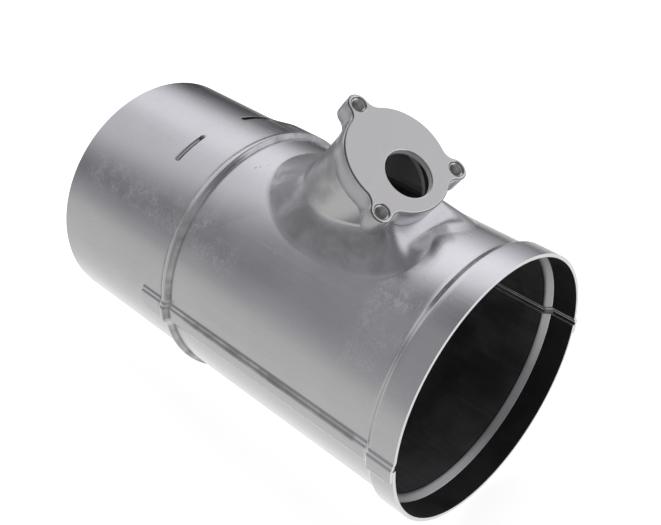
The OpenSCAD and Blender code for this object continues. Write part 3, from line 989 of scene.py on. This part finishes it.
def dress(node, width, change=None):
    """A copy of a CAD node of the mixer with its edges rounded, changed first where that is asked."""
    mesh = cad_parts[node].data.copy()
    mesh.name = node + "_visual"
    mesh.materials.clear()
    bm = bmesh.new()
    bm.from_mesh(mesh)
    bmesh.ops.remove_doubles(bm, verts=bm.verts, dist=1e-6)
    if change:
        change(bm)
    bmesh.ops.dissolve_limit(bm, angle_limit=math.radians(0.5), verts=bm.verts, edges=bm.edges)
    bm.to_mesh(mesh)
    bm.free()
    bevel(piece(node, mesh, [MIXER]), width, segments=2, degrees=40)


dress("mixer_ring", 0.4 * MM, thin_tabs)
for node in ["mixer_hub"] + ["vane_%d" % k for k in range(1, 13)]:
    dress(node, 0.2 * MM)

# Floor, light and camera

FLOOR_HALF, FLOOR_Z = 6, -COLLAR_R
corners = [(x * FLOOR_HALF, y * FLOOR_HALF, FLOOR_Z) for x, y in ((-1, -1), (1, -1), (1, 1), (-1, 1))]
floor_mesh = mesh_of("floor", corners, [[0, 1, 2, 3]])
floor = bpy.data.objects.new("floor", floor_mesh)
bpy.context.scene.collection.objects.link(floor)
mat = bpy.data.materials.new("floor_white")
mat.use_nodes = True
n = Nodes(mat.node_tree)
path = n.new("ShaderNodeLightPath")
glossy = path.outputs["Is Glossy Ray"]
not_glossy = n.sub(1.0, glossy)
where = n.new("ShaderNodeSeparateXYZ")
n.put(where.inputs[0], n.new("ShaderNodeNewGeometry").outputs["Position"])
px, py = where.outputs[:2]
PAPER_SEEN, PAPER_WHITE = 0.74, 0.8
STRIP_EDGE, STRIP_FADE, STRIP_LIGHT = 0.059, 0.035, 0.42
POOL_EDGE, POOL_FADE, POOL_LIGHT, POOL_REST = 0.25, 0.25, 0.75, 0.30
# the paper's light, as the part mirrors it: a bright strip close under the part on the
# camera's side, and a pool behind it that fades towards the outlet and with distance
away = n.math("ABSOLUTE", py)
past_strip = n.math("MAXIMUM", n.sub(away, STRIP_EDGE), 0.0)
strip = n.math("EXPONENT", n.mul(past_strip, -1 / STRIP_FADE))
front = n.add(n.remap(away, 0.2, 1.5, 0.57, 0.46, smooth_step=False), n.mul(strip, STRIP_LIGHT))
past_pool = n.math("MAXIMUM", n.sub(py, POOL_EDGE), 0.0)
pool = n.math("EXPONENT", n.mul(past_pool, -1 / POOL_FADE))
pool = n.add(n.mul(pool, POOL_LIGHT), POOL_REST)
behind = n.mul(pool, n.remap(px, -0.6, -0.05, 0.12, 1.0))
paper = n.blend(front, behind, n.remap(py, -0.02, 0.06))
diffuse = n.new("ShaderNodeBsdfDiffuse")
shade = n.new("ShaderNodeCombineColor")
for k in range(3):
    n.put(shade.inputs[k], n.mul(not_glossy, PAPER_WHITE))
n.put(diffuse.inputs["Color"], shade.outputs[0])
glow = n.new("ShaderNodeEmission")
glow.inputs["Color"].default_value = (1, 1, 1, 1)
seen = n.mul(path.outputs["Is Camera Ray"], PAPER_SEEN)
n.put(glow.inputs["Strength"], n.add(seen, n.mul(glossy, paper)))
both = n.new("ShaderNodeAddShader")
n.put(both.inputs[0], diffuse.outputs[0])
n.put(both.inputs[1], glow.outputs[0])
out = n.new("ShaderNodeOutputMaterial")
n.put(out.inputs[0], both.outputs[0])
floor_mesh.materials.append(mat)

world = bpy.data.worlds.new("studio")
bpy.context.scene.world = world
world.use_nodes = True
n = Nodes(world.node_tree)
xyz = n.new("ShaderNodeSeparateXYZ")
n.put(xyz.inputs[0], n.new("ShaderNodeTexCoord").outputs["Generated"])
dx, dy, dz = xyz.outputs
turn = n.mul(n.math("ARCTAN2", n.mul(dy, -1.0), dz), 180 / math.pi)
# levels of light in the room; more and less are changes away from the outlet's end
BOX_LIGHT, BOX_MORE, BOX_DIP = 0.86, 0.24, 0.24
ROOM_LIGHT, ROOM_MORE = 0.19, 0.14
HORIZON_LIGHT, HORIZON_LESS = 0.40, 0.15
FAR_LIGHT, FAR_MORE = 0.05, 0.30
WALL_LIGHT = 0.88
# a big soft box overhead; its edge on the camera's side slants along the tube, past it the
# room is dim and lightens towards the horizon, and past the inlet there is a white wall
inward = n.remap(dx, -0.72, -0.44, smooth_step=False)
edge = n.remap(dx, -0.74, -0.10, 42.0, -72.0, smooth_step=False)
soft = n.remap(dx, -0.74, -0.46, 24.0, 11.0, smooth_step=False)
past = n.remap(turn, n.sub(edge, soft), n.add(edge, soft))
dip = n.mul(n.remap(turn, -30.0, -6.0), n.sub(1.0, inward))
box = n.add(n.mul(inward, BOX_MORE), n.sub(BOX_LIGHT, n.mul(dip, BOX_DIP)))
lift = n.mul(n.mul(inward, n.remap(turn, 8.0, 35.0)), ROOM_MORE)
low = n.add(n.mul(n.remap(dx, -0.36, -0.12), -HORIZON_LESS), HORIZON_LIGHT)
dim = n.blend(n.add(lift, ROOM_LIGHT), low, n.remap(turn, 60.0, 95.0))
level = n.blend(box, dim, past)
far_end = n.add(n.mul(inward, FAR_MORE), FAR_LIGHT)
level = n.blend(far_end, level, n.remap(turn, -88.0, -42.0))
wall = n.mul(n.remap(dx, -0.04, 0.18), n.sub(1.0, n.remap(turn, -38.0, -8.0)))
level = n.blend(level, WALL_LIGHT, wall)
path = n.new("ShaderNodeLightPath")
seen = path.outputs["Is Camera Ray"]
level = n.add(n.mul(level, n.sub(1.0, seen)), seen)
back = n.new("ShaderNodeBackground")
back.inputs["Color"].default_value = (1.0, 0.985, 1.05, 1)
n.put(back.inputs["Strength"], level)
out = n.new("ShaderNodeOutputWorld")
n.put(out.inputs[0], back.outputs[0])

LIGHT_FROM, LIGHT_TO, LIGHT_SIZE, LIGHT_POWER = (-0.3, 0.5, 1.6), (0.14, 0, 0), 1.2, 9
light = bpy.data.lights.new("soft_box", "AREA")
light.shape, light.size, light.energy = "SQUARE", LIGHT_SIZE, LIGHT_POWER
lamp = bpy.data.objects.new("soft_box", light)
bpy.context.scene.collection.objects.link(lamp)
lamp.rotation_mode = "QUATERNION"
lamp.rotation_quaternion = (Vector(LIGHT_TO) - Vector(LIGHT_FROM)).to_track_quat("-Z", "Y")
lamp.location = LIGHT_FROM
lamp.visible_glossy = False


def rotation(v):
    """The matrix that turns about v by v's length in radians."""
    angle = np.linalg.norm(v)
    x, y, z = v / angle
    cross = np.array([[0, -z, y], [z, 0, -x], [-y, x, 0]])
    return np.eye(3) + math.sin(angle) * cross + (1 - math.cos(angle)) * cross @ cross


# The camera solved from the photograph: the ellipses of the tube's two ends and the line of its
# seam. The solve's own frame has the neck turned about the tube's axis by SOLVE_TURN.
SOLVED_ROTATION = np.array([1.63783914, 0.84849117, -0.18809844])
SOLVED_PLACE = np.array([-1.49107403, -0.63875012, 8.78627386]) * TUBE_R
SOLVE_TURN = math.radians(26.3)
FOCAL_PIXELS, PICTURE_PIXELS, SENSOR_WIDTH = 985.69, 661, 36.0
to_camera = rotation(SOLVED_ROTATION) @ rotation(np.array([SOLVE_TURN, 0, 0]))
cam_data = bpy.data.cameras.new("camera")
cam_data.sensor_width = SENSOR_WIDTH
cam_data.sensor_fit = "HORIZONTAL"
cam_data.lens = FOCAL_PIXELS / PICTURE_PIXELS * SENSOR_WIDTH
cam_data.clip_start, cam_data.clip_end = 0.01, 50
cam = bpy.data.objects.new("camera", cam_data)
bpy.context.scene.collection.objects.link(cam)
basis = np.eye(4)
basis[:3, 0], basis[:3, 1], basis[:3, 2] = to_camera[0], -to_camera[1], -to_camera[2]
basis[:3, 3] = -to_camera.T @ SOLVED_PLACE
cam.matrix_world = Matrix(basis.tolist())
bpy.context.scene.camera = cam

bpy.context.scene.view_settings.view_transform = "Standard"

bpy.context.view_layer.update()
